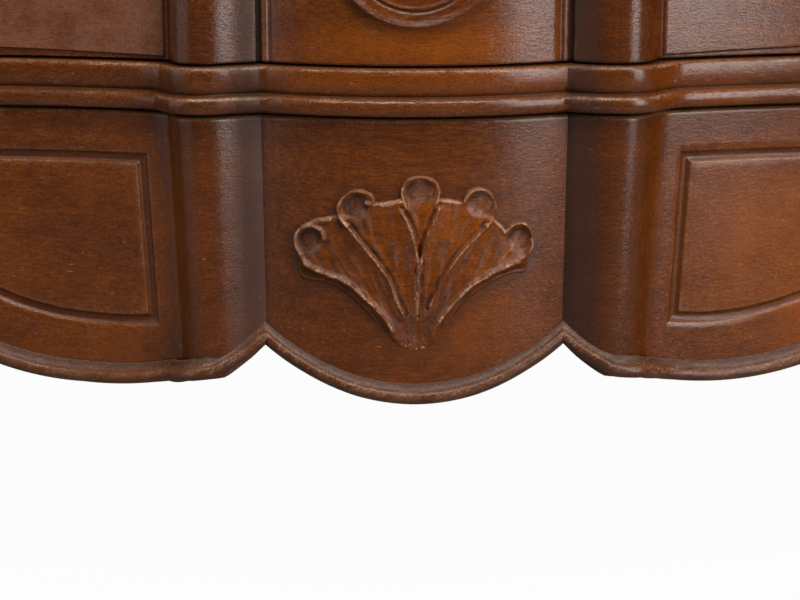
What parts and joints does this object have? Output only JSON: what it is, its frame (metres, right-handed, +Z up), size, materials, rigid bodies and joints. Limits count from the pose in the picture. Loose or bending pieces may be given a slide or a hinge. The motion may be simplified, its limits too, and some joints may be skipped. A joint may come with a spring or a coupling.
{
  "type": "commode",
  "caption": "Serpentine-front chest of drawers in dark polished wood on short curved legs, with half-round columns, a carved shell, a scalloped lower edge and swinging brass pulls.",
  "frame": {"origin": "on the floor under the middle of the top board", "axes": "+Z up, front towards -Y, +X to the right of someone facing the front"},
  "size_m": [1.26, 0.61, 0.7885],
  "materials": {
    "show_wood": "waxed and worn dark red-brown walnut",
    "inner_wood": "bare oak, planed",
    "brass": "aged brass",
    "steel": "dull steel"
  },
  "bodies": {
    "carcase": {"back_boards": "inner_wood", "back_bottom_rail": "inner_wood", "back_top_rail": "inner_wood", "bottom_drawer_runners": "inner_wood", "drawer_stops": "inner_wood", "front_bottom_rail": "inner_wood", "front_top_rail": "show_wood", "joint_pegs": "show_wood", "left_front_post": "show_wood", "left_rear_post": "show_wood", "left_side_apron": "show_wood", "left_side_panel": "show_wood", "left_side_top_rail": "show_wood", "lower_drawer_rail": "show_wood", "lower_dust_board": "inner_wood", "middle_drawer_runners": "inner_wood", "right_front_post": "show_wood", "right_rear_post": "show_wood", "right_side_apron": "show_wood", "right_side_panel": "show_wood", "right_side_top_rail": "show_wood", "top_board": "show_wood", "top_drawer_kickers": "inner_wood", "top_drawer_runners": "inner_wood", "top_screws": "steel", "upper_drawer_rail": "show_wood", "upper_dust_board": "inner_wood"},
    "top_drawer": {"top_drawer_back": "inner_wood", "top_drawer_bottom": "inner_wood", "top_drawer_front": "show_wood", "top_drawer_left_side": "inner_wood", "top_drawer_right_side": "inner_wood", "top_drawer_roundel": "show_wood", "top_pull_rosettes": "brass", "top_pull_posts": "brass"},
    "top_left_bail": {"top_left_bail": "brass"},
    "top_right_bail": {"top_right_bail": "brass"},
    "middle_drawer": {"middle_drawer_back": "inner_wood", "middle_drawer_bottom": "inner_wood", "middle_drawer_front": "show_wood", "middle_drawer_left_side": "inner_wood", "middle_drawer_right_side": "inner_wood", "middle_drawer_roundel": "show_wood", "middle_pull_rosettes": "brass", "middle_pull_posts": "brass"},
    "middle_left_bail": {"middle_left_bail": "brass"},
    "middle_right_bail": {"middle_right_bail": "brass"},
    "bottom_drawer": {"bottom_drawer_back": "inner_wood", "bottom_drawer_bottom": "inner_wood", "bottom_drawer_edge_bead": "show_wood", "bottom_drawer_front": "show_wood", "bottom_drawer_left_side": "inner_wood", "bottom_drawer_right_side": "inner_wood", "bottom_drawer_shell": "show_wood", "bottom_pull_rosettes": "brass", "bottom_pull_posts": "brass"},
    "bottom_left_bail": {"bottom_left_bail": "brass"},
    "bottom_right_bail": {"bottom_right_bail": "brass"}
  },
  "joints": [
    {"name": "top_drawer_slide", "type": "slide", "parent": "carcase", "child": "top_drawer", "axis": [0, -1, 0], "range_m": [0, 0.36]},
    {"name": "top_left_bail_hinge", "type": "hinge", "parent": "top_drawer", "child": "top_left_bail", "pos_m": [-0.352, -0.241, 0.648], "axis": [-1, 0, 0], "range_deg": [0, 85]},
    {"name": "top_right_bail_hinge", "type": "hinge", "parent": "top_drawer", "child": "top_right_bail", "pos_m": [0.352, -0.241, 0.648], "axis": [-1, 0, 0], "range_deg": [0, 85]},
    {"name": "middle_drawer_slide", "type": "slide", "parent": "carcase", "child": "middle_drawer", "axis": [0, -1, 0], "range_m": [0, 0.36]},
    {"name": "middle_left_bail_hinge", "type": "hinge", "parent": "middle_drawer", "child": "middle_left_bail", "pos_m": [-0.352, -0.241, 0.455], "axis": [-1, 0, 0], "range_deg": [0, 85]},
    {"name": "middle_right_bail_hinge", "type": "hinge", "parent": "middle_drawer", "child": "middle_right_bail", "pos_m": [0.352, -0.241, 0.455], "axis": [-1, 0, 0], "range_deg": [0, 85]},
    {"name": "bottom_drawer_slide", "type": "slide", "parent": "carcase", "child": "bottom_drawer", "axis": [0, -1, 0], "range_m": [0, 0.36]},
    {"name": "bottom_left_bail_hinge", "type": "hinge", "parent": "bottom_drawer", "child": "bottom_left_bail", "pos_m": [-0.352, -0.238, 0.29], "axis": [-1, 0, 0], "range_deg": [0, 85]},
    {"name": "bottom_right_bail_hinge", "type": "hinge", "parent": "bottom_drawer", "child": "bottom_right_bail", "pos_m": [0.352, -0.238, 0.29], "axis": [-1, 0, 0], "range_deg": [0, 85]}
  ]
}
